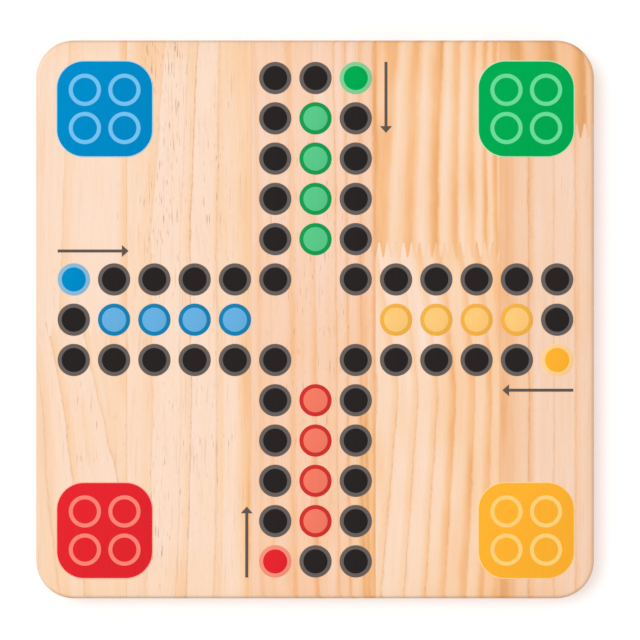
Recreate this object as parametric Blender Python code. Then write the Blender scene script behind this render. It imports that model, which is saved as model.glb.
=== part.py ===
"""Wooden cross-and-circle board: an edge-glued pine panel with a printed race game.

The panel is five staves laid side by side with the grain along Y. Three of the staves
are made of two lengths, a rear one towards +Y and a front one towards -Y, joined end to
end by finger joints whose zigzag shows on the face. The playing print stands on the
panel as a thin film, and is cut with the wood wherever it crosses a joint.

Metres, +Z up, origin at the middle of the underside, blue nest at the -X +Y corner.
"""

import math

import bmesh
import bpy
from mathutils import Matrix, Vector

MM = 0.001

# Panel
BOARD_SIDE = 270.7 * MM
BOARD_THICKNESS = 12.0 * MM
CORNER_RADIUS = 18.5 * MM
EDGE_ROUNDING = 2.0 * MM

# Staves, counted from -X to +X; the two outer ones are ripped to the panel's edge
STAVE_COUNT = 5
STAVE_WIDTH = 60.2 * MM
MIDDLE_STAVE_X = -0.85 * MM
JOINT_GAP = 0.3 * MM

# Finger joints: the lengths of a jointed stave meet along a zigzag across the stave
FINGER_LENGTH = 7.0 * MM
FINGER_PITCH = 3.93 * MM
FINGER_TIP_WIDTH = 0.7 * MM
STAVE_1_JOINT_Y = -4.7 * MM
STAVE_4_JOINT_Y = 33.8 * MM
STAVE_5_JOINT_Y = 91.4 * MM
STAVE_1_TIP_SHARE = 0.82
STAVE_4_TIP_SHARE = 0.96
STAVE_5_TIP_SHARE = 0.94

# Print
PRINT_THICKNESS = 0.15 * MM
FIELD_MARGIN = 18.35 * MM
FIELD_DIAMETER = 15.6 * MM
FIELD_STEPS = 6
NEST_SIDE = 46.9 * MM
NEST_CORNER_RADIUS = 13.4 * MM
NEST_MARGIN = 9.85 * MM
ARROW_LENGTH = 34.3 * MM
ARROW_SHAFT_WIDTH = 1.4 * MM
ARROW_HEAD_WIDTH = 5.7 * MM
ARROW_HEAD_LENGTH = 3.2 * MM
ARROW_FROM_TRACK = 14.2 * MM
ARROW_SIDESTEP = 0.43 * MM

# The print lies a little off the board's middle
PRINT_SHIFT_X = 0.2 * MM
PRINT_SHIFT_Y = -0.15 * MM

# How far a cutting solid runs past what it cuts
OVERRUN = 5.0 * MM

# Facets
CORNER_SEGMENTS = 10
EDGE_SEGMENTS = 4
FIELD_SEGMENTS = 24
NEST_CORNER_SEGMENTS = 6
SMOOTH_ANGLE = math.radians(30.0)

# Worked out from the sizes above
BOARD_HALF = BOARD_SIDE / 2
FIELD_PITCH = (BOARD_HALF - FIELD_MARGIN) / FIELD_STEPS
NEST_CENTRE = BOARD_HALF - NEST_MARGIN - NEST_SIDE / 2
ARROW_TAIL = FIELD_STEPS * FIELD_PITCH + FIELD_DIAMETER / 2
QUARTER_TURN = math.pi / 2

# Colours as they look in daylight, on the 0 to 1 scale of a screen
WOOD_COLOURS = {
    "stave_1": (0.97, 0.84, 0.73),
    "stave_2": (0.98, 0.85, 0.72),
    "stave_3": (0.96, 0.80, 0.67),
    "stave_4": (0.97, 0.80, 0.63),
    "stave_5": (0.95, 0.78, 0.66),
}
PRINT_COLOURS = {
    "black": (0.16, 0.15, 0.145),
    "blue": (0.00, 0.545, 0.79),
    "green": (0.01, 0.67, 0.33),
    "yellow": (0.99, 0.69, 0.20),
    "red": (0.90, 0.17, 0.19),
}
WOOD_ROUGHNESS = 0.55
PRINT_ROUGHNESS = 0.40

# One quarter of the layout belongs to each colour, in turn from the +Y -X corner
QUARTERS = ("blue", "green", "yellow", "red")

# The arrows lie towards +X or -Y of their even places: -1 is nearer to the track, 1 farther from it
ARROW_STEPS = {"blue": -1, "green": 1, "yellow": 1, "red": -1}


def clear_scene():
    for old in list(bpy.data.objects):
        bpy.data.objects.remove(old, do_unlink=True)


def linear(channel):
    """Screen colour channel to the linear value that a shader takes."""
    if channel <= 0.04045:
        return channel / 12.92
    return ((channel + 0.055) / 1.055) ** 2.4


def make_material(name, colour, roughness):
    material = bpy.data.materials.new(name)
    material.use_nodes = True
    shader = material.node_tree.nodes["Principled BSDF"]
    shader.inputs["Base Color"].default_value = (*map(linear, colour), 1.0)
    shader.inputs["Roughness"].default_value = roughness
    shader.inputs["Metallic"].default_value = 0.0
    material.diffuse_color = (*colour, 1.0)
    return material


def add_object(name, mesh):
    made = bpy.data.objects.new(name, mesh)
    bpy.context.scene.collection.objects.link(made)
    return made


def add_prism(bm, outline, bottom, top, material_index=0):
    """Add one closed prism over an anticlockwise outline of (x, y) points."""
    lower = [bm.verts.new((x, y, bottom)) for x, y in outline]
    upper = [bm.verts.new((x, y, top)) for x, y in outline]
    faces = [bm.faces.new(list(reversed(lower))), bm.faces.new(upper)]
    for here in range(len(outline)):
        after = (here + 1) % len(outline)
        faces.append(bm.faces.new((lower[here], lower[after], upper[after], upper[here])))
    for face in faces:
        face.material_index = material_index


def circle(centre, radius, segments):
    """Anticlockwise points on a circle."""
    turns = [math.tau * step / segments for step in range(segments)]
    return [(centre[0] + radius * math.cos(turn), centre[1] + radius * math.sin(turn)) for turn in turns]


def rounded_square(centre, side, radius, segments):
    """Anticlockwise outline of a square whose corners are arcs."""
    reach = side / 2 - radius
    points = []
    for corner in range(4):
        start = corner * QUARTER_TURN
        middle = start + QUARTER_TURN / 2
        arc_x = centre[0] + math.copysign(reach, math.cos(middle))
        arc_y = centre[1] + math.copysign(reach, math.sin(middle))
        for step in range(segments + 1):
            turn = start + QUARTER_TURN * step / segments
            points.append((arc_x + radius * math.cos(turn), arc_y + radius * math.sin(turn)))
    return points


def turned(points, quarters):
    """Points of the print after clockwise quarter turns, moved with the print's small shift."""
    rotation = Matrix.Rotation(-quarters * QUARTER_TURN, 2)
    shift = Vector((PRINT_SHIFT_X, PRINT_SHIFT_Y))
    return [tuple(rotation @ Vector(point) + shift) for point in points]


def quarter_fields(colour):
    """Grid steps (column, row) and colours of the fields in one quarter of the layout.

    The quarter is the blue one. It runs from the start field at the outer end of the
    left arm, along the arm's upper lane, up the left lane of the upper arm to its outer
    end, and it holds the four home fields in the middle of the left arm.
    """
    fields = [((-FIELD_STEPS, 1), colour), ((-FIELD_STEPS, 0), "black")]
    fields += [((-step, 1), "black") for step in range(1, FIELD_STEPS)]
    fields += [((-1, step), "black") for step in range(2, FIELD_STEPS + 1)]
    fields += [((-step, 0), colour) for step in range(2, FIELD_STEPS)]
    return fields


def arrow_outline(step):
    """The arrow in the blue quarter's place, which points the way the pieces move."""
    line = FIELD_PITCH + ARROW_FROM_TRACK + step * ARROW_SIDESTEP
    tail = -ARROW_TAIL
    tip = tail + ARROW_LENGTH
    neck = tip - ARROW_HEAD_LENGTH
    shaft = ARROW_SHAFT_WIDTH / 2
    head = ARROW_HEAD_WIDTH / 2
    return [
        (tail, line - shaft),
        (neck, line - shaft),
        (neck, line - head),
        (tip, line),
        (neck, line + head),
        (neck, line + shaft),
        (tail, line + shaft),
    ]


def print_marks():
    """Outline and colour of every mark of the print."""
    marks = []
    for quarters, colour in enumerate(QUARTERS):
        for (column, row), field_colour in quarter_fields(colour):
            centre = (column * FIELD_PITCH, row * FIELD_PITCH)
            outline = circle(centre, FIELD_DIAMETER / 2, FIELD_SEGMENTS)
            marks.append((turned(outline, quarters), field_colour))
        centre = (-NEST_CENTRE, NEST_CENTRE)
        nest = rounded_square(centre, NEST_SIDE, NEST_CORNER_RADIUS, NEST_CORNER_SEGMENTS)
        marks.append((turned(nest, quarters), colour))
        marks.append((turned(arrow_outline(ARROW_STEPS[colour]), quarters), "black"))
    return marks


def hide_cutter(cutter):
    cutter.hide_render = True
    cutter.display_type = "WIRE"


def make_print(materials):
    """All the marks as separate prisms that start inside the wood."""
    colours = list(PRINT_COLOURS)
    bm = bmesh.new()
    for outline, colour in print_marks():
        add_prism(bm, outline, BOARD_THICKNESS / 2, BOARD_THICKNESS + PRINT_THICKNESS, colours.index(colour))
    mesh = bpy.data.meshes.new("print_film")
    bm.to_mesh(mesh)
    bm.free()
    for colour in colours:
        mesh.materials.append(materials[colour])
    film = add_object("print_film", mesh)
    hide_cutter(film)
    return film


def make_blank(film):
    """The whole panel with its rounded edges and its print, before it is parted into staves."""
    bm = bmesh.new()
    outline = rounded_square((0.0, 0.0), BOARD_SIDE, CORNER_RADIUS, CORNER_SEGMENTS)
    add_prism(bm, outline, 0.0, BOARD_THICKNESS)
    bm.normal_update()
    rims = [edge for edge in bm.edges if abs(edge.verts[0].co.z - edge.verts[1].co.z) < BOARD_THICKNESS / 2]
    bmesh.ops.bevel(bm, geom=rims, offset=EDGE_ROUNDING, segments=EDGE_SEGMENTS, profile=0.5, affect="EDGES")
    mesh = bpy.data.meshes.new("panel_blank")
    bm.to_mesh(mesh)
    bm.free()
    blank = add_object("panel_blank", mesh)
    join = blank.modifiers.new("print", "BOOLEAN")
    join.operation = "UNION"
    join.solver = "EXACT"
    join.material_mode = "TRANSFER"
    join.object = film
    hide_cutter(blank)
    return blank


def glue_line(number):
    """X of the joint at the -X side of a stave, or of where it lay before the stave was ripped."""
    middle = (STAVE_COUNT + 1) // 2
    return MIDDLE_STAVE_X + (number - middle - 0.5) * STAVE_WIDTH


def stave_sides(number):
    """The two X values between which a stave lies, with half a joint gap taken off each side."""
    left = glue_line(number) + JOINT_GAP / 2
    right = glue_line(number + 1) - JOINT_GAP / 2
    if number == 1:
        left = -BOARD_HALF - OVERRUN
    if number == STAVE_COUNT:
        right = BOARD_HALF + OVERRUN
    return left, right


def finger_line(number, joint_y, tip_share, side):
    """Points of the zigzag from -X to +X, for the length at its +Y side (1) or -Y side (-1).

    The middle line has flats of FINGER_TIP_WIDTH at both ends of its fingers. Each length
    keeps half a joint gap from it all along: its own fingers get narrower by the same
    amount as the notches between them get wider.
    """
    left, right = stave_sides(number)
    full_left = glue_line(number)
    lean = math.atan2(FINGER_PITCH / 2 - FINGER_TIP_WIDTH, FINGER_LENGTH)
    half_gap = JOINT_GAP / 2
    narrowing = half_gap * (1 - math.sin(lean)) / math.cos(lean)
    low_flat = FINGER_TIP_WIDTH / 2 - side * narrowing
    high_flat = FINGER_TIP_WIDTH / 2 + side * narrowing
    low_y = joint_y - FINGER_LENGTH / 2 + side * half_gap
    high_y = joint_y + FINGER_LENGTH / 2 + side * half_gap

    def height(x):
        phase = (x - full_left) / FINGER_PITCH - tip_share
        from_tip = abs(phase - round(phase)) * FINGER_PITCH
        share = (from_tip - low_flat) / (FINGER_PITCH / 2 - low_flat - high_flat)
        return low_y + (high_y - low_y) * min(max(share, 0.0), 1.0)

    corners = []
    first = math.floor((left - full_left) / FINGER_PITCH) - 1
    last = math.ceil((right - full_left) / FINGER_PITCH) + 1
    for finger in range(first, last + 1):
        tip = full_left + (finger + tip_share) * FINGER_PITCH
        root = FINGER_PITCH / 2 - high_flat
        corners += [tip - root, tip - low_flat, tip + low_flat, tip + root]
    inside = [x for x in corners if left < x < right]
    return [(x, height(x)) for x in [left, *inside, right]]


def make_stave(name, number, blank, material, joint=None, side=0):
    """Cut one stave, or one length of a jointed stave, out of the panel."""
    left, right = stave_sides(number)
    reach = BOARD_HALF + OVERRUN
    front_line = [(left, -reach), (right, -reach)]
    rear_line = [(left, reach), (right, reach)]
    if side > 0:
        front_line = finger_line(number, *joint, side)
    if side < 0:
        rear_line = finger_line(number, *joint, side)
    bm = bmesh.new()
    add_prism(bm, front_line + list(reversed(rear_line)), -OVERRUN, BOARD_THICKNESS + OVERRUN)
    mesh = bpy.data.meshes.new(name)
    bm.to_mesh(mesh)
    bm.free()
    mesh.materials.append(material)
    stave = add_object(name, mesh)
    cut = stave.modifiers.new("panel", "BOOLEAN")
    cut.operation = "INTERSECT"
    cut.solver = "EXACT"
    cut.material_mode = "TRANSFER"
    cut.object = blank
    return stave


def apply_modifiers(made):
    """Keep each object's cut shape as its own mesh, smooth where it is round."""
    bpy.context.view_layer.update()
    depsgraph = bpy.context.evaluated_depsgraph_get()
    shapes = [bpy.data.meshes.new_from_object(each.evaluated_get(depsgraph)) for each in made]
    for each, shape in zip(made, shapes):
        each.modifiers.clear()
        each.data = shape
        shape.name = each.name
        shape.shade_smooth()
        shape.set_sharp_from_angle(angle=SMOOTH_ANGLE)


def build():
    clear_scene()
    wood = {}
    for name, colour in WOOD_COLOURS.items():
        wood[name] = make_material(name, colour, WOOD_ROUGHNESS)
    inks = {}
    for name, colour in PRINT_COLOURS.items():
        inks[name] = make_material("ink_" + name, colour, PRINT_ROUGHNESS)
    film = make_print(inks)
    blank = make_blank(film)
    joints = {
        1: (STAVE_1_JOINT_Y, STAVE_1_TIP_SHARE),
        4: (STAVE_4_JOINT_Y, STAVE_4_TIP_SHARE),
        5: (STAVE_5_JOINT_Y, STAVE_5_TIP_SHARE),
    }
    staves = []
    for number in range(1, STAVE_COUNT + 1):
        name = f"stave_{number}"
        if number in joints:
            staves.append(make_stave(name + "_rear", number, blank, wood[name], joints[number], 1))
            staves.append(make_stave(name + "_front", number, blank, wood[name], joints[number], -1))
        else:
            staves.append(make_stave(name, number, blank, wood[name]))
    apply_modifiers(staves)
    for cutter in (blank, film):
        bpy.data.objects.remove(cutter, do_unlink=True)


build()
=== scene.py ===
"""Looks of a wooden race game board: its pine staves, the print on them and a plain studio.

Metres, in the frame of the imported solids: origin at the middle of the underside, +Z up,
grain along Y, blue nest at the -X +Y corner. Every stave is rebuilt with finer rounding
and tight joints, and the print becomes layers of ink on the wood.
"""

import math

import bmesh
import bpy
from mathutils import Matrix, Vector


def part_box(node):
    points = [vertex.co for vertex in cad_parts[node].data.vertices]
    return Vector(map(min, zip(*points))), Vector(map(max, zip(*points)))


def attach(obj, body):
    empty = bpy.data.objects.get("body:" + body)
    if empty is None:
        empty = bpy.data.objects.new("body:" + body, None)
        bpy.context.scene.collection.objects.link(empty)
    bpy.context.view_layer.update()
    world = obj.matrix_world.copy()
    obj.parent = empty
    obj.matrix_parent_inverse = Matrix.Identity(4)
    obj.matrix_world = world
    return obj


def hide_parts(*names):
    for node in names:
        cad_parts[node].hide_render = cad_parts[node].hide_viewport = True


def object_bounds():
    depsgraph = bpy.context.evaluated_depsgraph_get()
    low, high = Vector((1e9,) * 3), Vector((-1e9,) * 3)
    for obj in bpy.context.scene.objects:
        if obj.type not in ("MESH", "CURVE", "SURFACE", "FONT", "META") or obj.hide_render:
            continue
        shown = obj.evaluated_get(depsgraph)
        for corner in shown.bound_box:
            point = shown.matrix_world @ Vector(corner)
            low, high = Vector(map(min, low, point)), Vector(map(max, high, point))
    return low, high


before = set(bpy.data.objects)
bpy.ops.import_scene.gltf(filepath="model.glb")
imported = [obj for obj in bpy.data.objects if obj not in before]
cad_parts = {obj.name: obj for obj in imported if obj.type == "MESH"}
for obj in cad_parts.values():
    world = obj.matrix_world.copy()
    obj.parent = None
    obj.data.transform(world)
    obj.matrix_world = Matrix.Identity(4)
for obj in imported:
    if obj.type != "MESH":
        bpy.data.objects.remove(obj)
cad_low, cad_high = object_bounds()

MM = 0.001

# Panel, as in the solids
CORNER_RADIUS = 18.5 * MM
EDGE_ROUNDING = 2.2 * MM
PRINT_THICKNESS = 0.15 * MM
BOARD_SIDE = cad_high.x - cad_low.x
BOARD_HALF = BOARD_SIDE / 2
PRINT_TOP = cad_high.z
BOARD_TOP = PRINT_TOP - PRINT_THICKNESS

# Joints between the staves: closed, but for a small void at each finger's tip
FINGER_LENGTH = 7.0 * MM
FINGER_PITCH = 3.93 * MM
FINGER_TIP_WIDTH = 0.7 * MM
TIP_VOID = 0.04 * MM

# Where the first finger's tip lies after the glue line, as a share of the pitch, in each jointed stave
TIP_SHARES = {1: 0.82, 4: 0.96, 5: 0.94}
STAVES = 5
MIDDLE_STAVE = 3

# Print, as in the solids, with its two-tone rings and its layers
FIELD_MARGIN = 18.35 * MM
FIELD_DIAMETER = 15.6 * MM
FIELD_STEPS = 6
CENTRE_DIAMETER = 11.7 * MM
NEST_SIDE = 46.9 * MM
NEST_CORNER_RADIUS = 13.4 * MM
NEST_MARGIN = 9.85 * MM
NEST_RIM = 0.45 * MM
NEST_RING_SPACING_X = 19.15 * MM
NEST_RING_SPACING_Y = 18.5 * MM
ARROW_LENGTH = 34.3 * MM
ARROW_SHAFT_WIDTH = 1.4 * MM
ARROW_HEAD_WIDTH = 5.7 * MM
ARROW_HEAD_LENGTH = 3.2 * MM
ARROW_FROM_TRACK = 14.2 * MM
ARROW_SIDESTEP = 0.43 * MM
PRINT_SHIFT_X = 0.2 * MM
PRINT_SHIFT_Y = -0.15 * MM
INK_LAYER = 0.03 * MM
INK_ROOT = 0.05 * MM
INK_ROUNDING = 0.03 * MM

# Facets
CORNER_SEGMENTS = 32
EDGE_SEGMENTS = 10
INK_EDGE_SEGMENTS = 2
ROUND_PROFILE = 0.5
FIELD_SEGMENTS = 96
NEST_CORNER_SEGMENTS = 24
SMOOTH_ANGLE = math.radians(30.0)
OVERRUN = 5.0 * MM

# Worked out from the sizes above
FIRST_COAT = PRINT_TOP - 2 * INK_LAYER
SECOND_COAT = PRINT_TOP - INK_LAYER
THIRD_COAT = PRINT_TOP
FIELD_RADIUS = FIELD_DIAMETER / 2
CENTRE_RADIUS = CENTRE_DIAMETER / 2
FIELD_PITCH = (BOARD_HALF - FIELD_MARGIN) / FIELD_STEPS
NEST_CENTRE = BOARD_HALF - NEST_MARGIN - NEST_SIDE / 2
ARROW_TAIL = FIELD_STEPS * FIELD_PITCH + FIELD_DIAMETER / 2
QUARTER_TURN = math.pi / 2
QUARTERS = ("blue", "green", "yellow", "red")

# The arrows lie towards +X or -Y of their even places: -1 is nearer to the track, 1 farther from it
ARROW_STEPS = {"blue": -1, "green": 1, "yellow": 1, "red": -1}

# Camera straight above, a little off the board's middle as in the photograph
LENS_MM = 100.0
SENSOR_MM = 36.0
VIEW_WIDTH = 309.8 * MM
CAMERA_OFFSET = (2.40 * MM, -0.29 * MM)
NEAREST_SEEN = 0.01
FARTHEST_SEEN = 20.0

# Lights: an even sky and a broad soft lamp
SKY_LIGHT = 0.62
SUN_STRENGTH = 1.46
SUN_ZENITH = math.radians(33.5)
SUN_AZIMUTH = math.radians(156.0)
SUN_SIZE = math.radians(35.0)

# Floor: its tint in the shadow, the grey that it throws back, and the white that the camera sees.
# The lip is how far the floor reaches in under the flat of the board.
FLOOR_SIZE = 6.0
FLOOR_LIP = 0.3 * MM
FLOOR_TINT = (0.38, 0.61, 0.68)
FLOOR_BOUNCE = (0.57, 0.57, 0.57)
FLOOR_WHITE = 1.042


def linear(channel):
    """Screen colour channel, 0 to 255, as the linear value that a shader takes."""
    share = channel / 255
    if share <= 0.04045:
        return share / 12.92
    return ((share + 0.055) / 1.055) ** 2.4


def colour(red, green, blue):
    return (linear(red), linear(green), linear(blue), 1.0)


# Tones of pine: 0 is the palest early wood, 1 the darkest late wood
PINE_SHADES = [
    (0.0, (252, 225, 207)),
    (0.25, (251, 214, 182)),
    (0.5, (250, 204, 161)),
    (0.75, (247, 188, 134)),
    (1.0, (236, 170, 106)),
]

# Growth rings and figure of each length of a stave, in mm and tones.
# A ring is (x of its darkest place, rise before it, fall after it, tone before it, its own tone).
# A line is (x, half width, darkness), thin and brown. Both lie at the height where the drift is nil.
# Front rings take over towards -Y, and lines_fade holds two heights: above the second the lines are faint.
# A drift is (y, shift along x) at the -X and the +X side of the stave.
# Patches and zones are (x, y, half width, half length, strength). A patch adds its strength in tones,
# an amber zone makes the wood yellower, and a fleck zone has resin flecks.
# The depth is a tone added all over, the cast a share of red, green and blue. Grain and hairs are
# strengths of the fibres and hairlines, and the tilt is how far the rings lean in each mm of thickness.
# The broad patches near the ends of the board, at y about ±130, are painted shade: they darken the wood
# towards both ends.
WOODS = {
    "stave_1_rear": {
        "slot": "pale_pine",
        "depth": 0.07,
        "cast": (1.0, 1.0, 1.0),
        "rings": [
            (-133.5, 1.0, 3.0, 0.1, 0.16), (-122.2, 0.6, 9.0, 0.05, 0.21),
            (-91.5, 5.5, 2.0, 0.04, 0.36),
        ],
        "lines": [(-122.0, 0.6, 0.2), (-128.8, 0.6, 0.1), (-114.4, 0.5, 0.1)],
        "left_drift": [(-5, -1.8), (44, 0.0), (71, 1.5), (135, 5.7)],
        "right_drift": [(-5, -0.5), (44, 0.0), (71, 0.0), (135, -0.6)],
        "patches": [(-92, 130, 4, 30, 0.15), (-108, 134, 34, 14, 0.09)],
        "amber_zones": [],
        "fleck_zones": [(-94, 60, 6, 90, 0.4)],
        "grain": 0.55,
        "hairs": 0.15,
        "tilt": 0.5,
        "seed": 1.0,
    },
    "stave_1_front": {
        "slot": "pale_pine",
        "depth": 0.05,
        "cast": (1.0, 1.0, 1.0),
        "rings": [
            (-133.0, 0.8, 7.0, 0.2, 0.28), (-122.6, 0.8, 4.0, 0.08, 0.33),
            (-114.5, 0.8, 3.5, 0.12, 0.14), (-105.3, 0.8, 2.8, 0.06, 0.27),
            (-91.5, 3.5, 6.0, 0.19, 0.36),
        ],
        "lines": [(-122.8, 0.6, 0.35), (-132.6, 0.6, 0.3), (-105.4, 0.6, 0.3)],
        "left_drift": [(-130, 5.8), (-73, 1.4), (-60, 1.6), (-48, 1.2), (-35, 0.0), (0, -8.0)],
        "right_drift": [(-130, 15.6), (-73, 10.4), (-60, 6.6), (-48, 4.0), (-35, 0.0), (0, -8.0)],
        "patches": [
            (-110, -130, 30, 30, 0.1), (-91, -100, 3.5, 70, 0.14), (-91, -10, 3, 30, 0.1),
            (-94, -130, 6, 22, 0.15),
        ],
        "amber_zones": [],
        "fleck_zones": [(-108, -55, 24, 75, 0.45)],
        "grain": 0.85,
        "hairs": 0.3,
        "tilt": 1.2,
        "seed": 2.0,
    },
    "stave_2": {
        "slot": "flecked_pine",
        "depth": 0.06,
        "cast": (1.0, 1.0, 1.0),
        "rings": [
            (-79.6, 6.5, 1.6, 0.12, 0.29), (-60.2, 5.8, 0.9, 0.05, 0.22), (-46.8, 4.5, 2.5, 0.05, 0.26),
            (-32.0, 8.0, 4.5, 0.19, 0.42),
        ],
        "front_rings": [
            (-79.6, 8.5, 1.6, 0.13, 0.22), (-61.4, 4.6, 0.9, 0.06, 0.24), (-44.8, 5.5, 0.9, 0.06, 0.24),
            (-32.0, 8.0, 1.6, 0.07, 0.6),
        ],
        "lines": [(-60.4, 0.6, 0.65), (-79.2, 0.5, 0.25), (-47.6, 0.9, 0.3), (-65.2, 0.5, 0.3)],
        "left_drift": [(-135, -3.2), (-60, 0.0), (42, 0.0), (71, 2.2), (110, 6.5), (135, 11.0)],
        "right_drift": [(-135, -0.5), (-60, 0.0), (42, 0.0), (71, 0.0), (110, -0.6), (135, -1.5)],
        "patches": [
            (-81, 130, 9, 28, 0.32), (-60, 128, 4, 24, 0.14), (-38, 126, 9, 26, 0.1),
            (-67, 132, 8, 12, 0.12), (-33, 120, 5, 36, -0.14), (-62, -128, 28, 26, 0.12),
            (-65, -132, 5, 20, 0.14), (-31.6, -97, 2.4, 46, 0.3), (-36, -122, 3.5, 30, -0.12),
        ],
        "amber_zones": [],
        "fleck_zones": [
            (-80, 122, 10, 28, 1.1), (-68, 126, 12, 26, 1.2), (-69, 95, 9, 45, 1.1),
            (-75, -90, 9, 75, 1.0), (-74, 50, 16, 60, 0.9), (-48, 60, 16, 70, 0.5),
            (-58, -50, 26, 80, 0.45),
        ],
        "grain": 1.15,
        "hairs": 0.4,
        "tilt": -0.6,
        "seed": 3.0,
    },
    "stave_3": {
        "slot": "fine_grained_pine",
        "depth": 0.08,
        "cast": (0.985, 0.955, 1.0),
        "rings": [
            (-26.0, 3.0, 1.6, 0.18, 0.33), (-21.0, 2.0, 1.6, 0.14, 0.22), (-10.2, 3.8, 1.8, 0.18, 0.45),
            (-0.2, 3.0, 1.4, 0.2, 0.36), (6.8, 2.0, 1.4, 0.12, 0.24), (10.4, 1.8, 1.4, 0.2, 0.45),
            (15.8, 2.5, 1.6, 0.14, 0.44), (23.2, 5.0, 1.4, 0.24, 0.5), (29.4, 2.6, 1.0, 0.3, 0.75),
        ],
        "front_rings": [
            (-26.4, 2.5, 1.6, 0.26, 0.4), (-21.0, 2.5, 1.6, 0.3, 0.45), (-10.6, 4.0, 2.0, 0.26, 0.56),
            (-0.4, 3.0, 2.2, 0.3, 0.6), (6.4, 1.6, 1.2, 0.29, 0.38), (10.2, 2.0, 1.2, 0.32, 0.44),
            (15.8, 2.2, 1.4, 0.3, 0.62), (22.4, 3.4, 0.6, 0.38, 0.8), (24.6, 1.0, 1.3, 0.66, 0.8),
            (28.3, 1.6, 1.0, 0.46, 0.74),
        ],
        "lines": [
            (10.3, 0.5, 0.35), (-11.6, 0.5, 0.2), (15.7, 0.5, 0.35), (22.2, 0.5, 0.35),
            (28.9, 0.6, 0.4), (-27.0, 0.5, 0.15), (0.2, 0.5, 0.25),
        ],
        "left_drift": [(-135, 1.5), (-68, 0.5), (0, 0.0), (68, -1.0), (135, -3.4)],
        "right_drift": [(-135, 2.1), (-107, 1.3), (-68, 0.5), (0, 0.0), (68, -0.5), (135, -0.7)],
        "patches": [
            (0, 132, 32, 14, 0.06), (-2, -130, 26, 20, 0.04), (9, 126, 4, 30, -0.08),
            (17, 126, 3, 20, -0.14), (8, -122, 3, 24, -0.25), (-12.5, -120, 2, 22, 0.15),
            (29.3, 108, 1.2, 64, 0.3), (-25, 26, 6, 30, 0.16), (24.5, -88, 6, 66, 0.16),
            (4, 96, 24, 34, -0.08), (28.6, -118, 2.2, 34, 0.3), (22.4, -134, 2.5, 24, -0.16),
            (0, -116, 34, 44, 0.05),
        ],
        "amber_zones": [(24, -88, 9, 90, 1.0)],
        "fleck_zones": [(0, 0, 30, 150, 0.6)],
        "grain": 1.1,
        "hairs": 0.3,
        "tilt": 2.0,
        "seed": 4.0,
    },
    "stave_4_rear": {
        "slot": "banded_pine",
        "depth": 0.06,
        "cast": (1.0, 1.0, 1.0),
        "rings": [
            (33.4, 5.0, 4.6, 0.8, 0.74), (46.0, 8.5, 4.8, 0.16, 0.72), (58.7, 7.0, 2.8, 0.13, 0.8),
            (68.2, 5.5, 2.5, 0.14, 0.72), (76.2, 5.4, 2.4, 0.14, 0.66), (82.7, 3.1, 1.8, 0.18, 0.7),
            (87.9, 2.8, 1.7, 0.25, 0.69), (92.6, 2.5, 2.0, 0.42, 0.65),
        ],
        "lines": [(35.0, 0.8, 0.1), (58.9, 0.7, 0.15), (82.8, 0.6, 0.1), (68.6, 0.6, 0.1)],
        "left_drift": [(25, -0.4), (48, 0.0), (70, 1.0), (100, 2.8), (135, 6.3)],
        "right_drift": [(25, 0.4), (48, -0.2), (70, -0.4), (100, -0.4), (135, -0.9)],
        "patches": [
            (60, 130, 32, 22, 0.06), (31.5, 118, 6, 36, -0.3), (83, 132, 9, 18, 0.14),
            (32.5, 108, 3, 45, -0.14), (29.3, 108, 1.0, 64, 0.25), (56, 122, 3, 24, 0.16),
            (62, 115, 2, 36, 0.14), (87, 75, 2.5, 24, 0.22),
        ],
        "amber_zones": [],
        "fleck_zones": [],
        "grain": 0.95,
        "hairs": 0.15,
        "tilt": 1.5,
        "seed": 5.0,
    },
    "stave_4_front": {
        "slot": "banded_pine",
        "depth": 0.05,
        "cast": (1.0, 1.0, 1.0),
        "rings": [
            (29.2, 3.0, 1.8, 0.6, 0.62), (39.3, 4.5, 1.6, 0.12, 0.4), (49.2, 3.6, 1.8, 0.12, 0.36),
            (58.6, 4.0, 1.8, 0.16, 0.54), (67.0, 4.6, 2.2, 0.3, 0.74), (76.5, 4.6, 2.0, 0.37, 0.72),
            (84.4, 3.6, 2.0, 0.3, 0.7), (91.6, 4.2, 2.0, 0.42, 0.7),
        ],
        "lines": [
            (39.5, 0.5, 0.5), (49.4, 0.5, 0.5), (58.8, 0.5, 0.45), (67.4, 0.5, 0.35), (76.9, 0.5, 0.3),
            (84.8, 0.6, 0.25), (30.0, 0.6, 0.3),
        ],
        "lines_fade": (-45, 0),
        "left_drift": [
            (-135, -8.0), (-85, -4.0), (-60, -1.9), (-35, 0.0), (0, -4.6), (12, -6.6), (35, -10.5),
        ],
        "right_drift": [
            (-135, -2.9), (-85, -0.8), (-60, 0.0), (-35, 0.4), (0, -1.3), (12, -2.0), (35, -4.5),
        ],
        "patches": [
            (42, 20, 16, 26, -0.12), (84, -128, 14, 26, 0.12), (70, 14, 6, 22, -0.12),
            (57, 3, 11, 36, -0.27), (59, -88, 14, 48, -0.17), (31, -68, 4.5, 28, 0.22),
            (43, -45, 5, 24, 0.1), (70, -88, 8, 40, -0.12),
        ],
        "amber_zones": [],
        "fleck_zones": [],
        "grain": 0.95,
        "hairs": 0.1,
        "tilt": 1.0,
        "seed": 6.0,
    },
    "stave_5_rear": {
        "slot": "rosy_pine",
        "depth": 0.13,
        "cast": (0.975, 0.98, 1.0),
        "rings": [
            (98.2, 7.5, 4.2, 0.54, 0.9), (114.6, 10.5, 4.6, 0.44, 1.0), (129.8, 7.0, 2.2, 0.46, 0.98),
        ],
        "lines": [(98.5, 0.8, 0.15), (114.6, 2.2, 0.35), (129.6, 2.4, 0.35)],
        "left_drift": [(85, 0.0), (135, 0.4)],
        "right_drift": [(85, 0.0), (112, 0.3), (135, -1.4)],
        "patches": [(112, 116, 36, 60, 0.06)],
        "amber_zones": [],
        "fleck_zones": [],
        "grain": 1.0,
        "hairs": 0.2,
        "tilt": -1.2,
        "seed": 7.0,
    },
    "stave_5_front": {
        "slot": "rosy_pine",
        "depth": 0.1,
        "cast": (0.96, 0.95, 1.0),
        "rings": [
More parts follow.
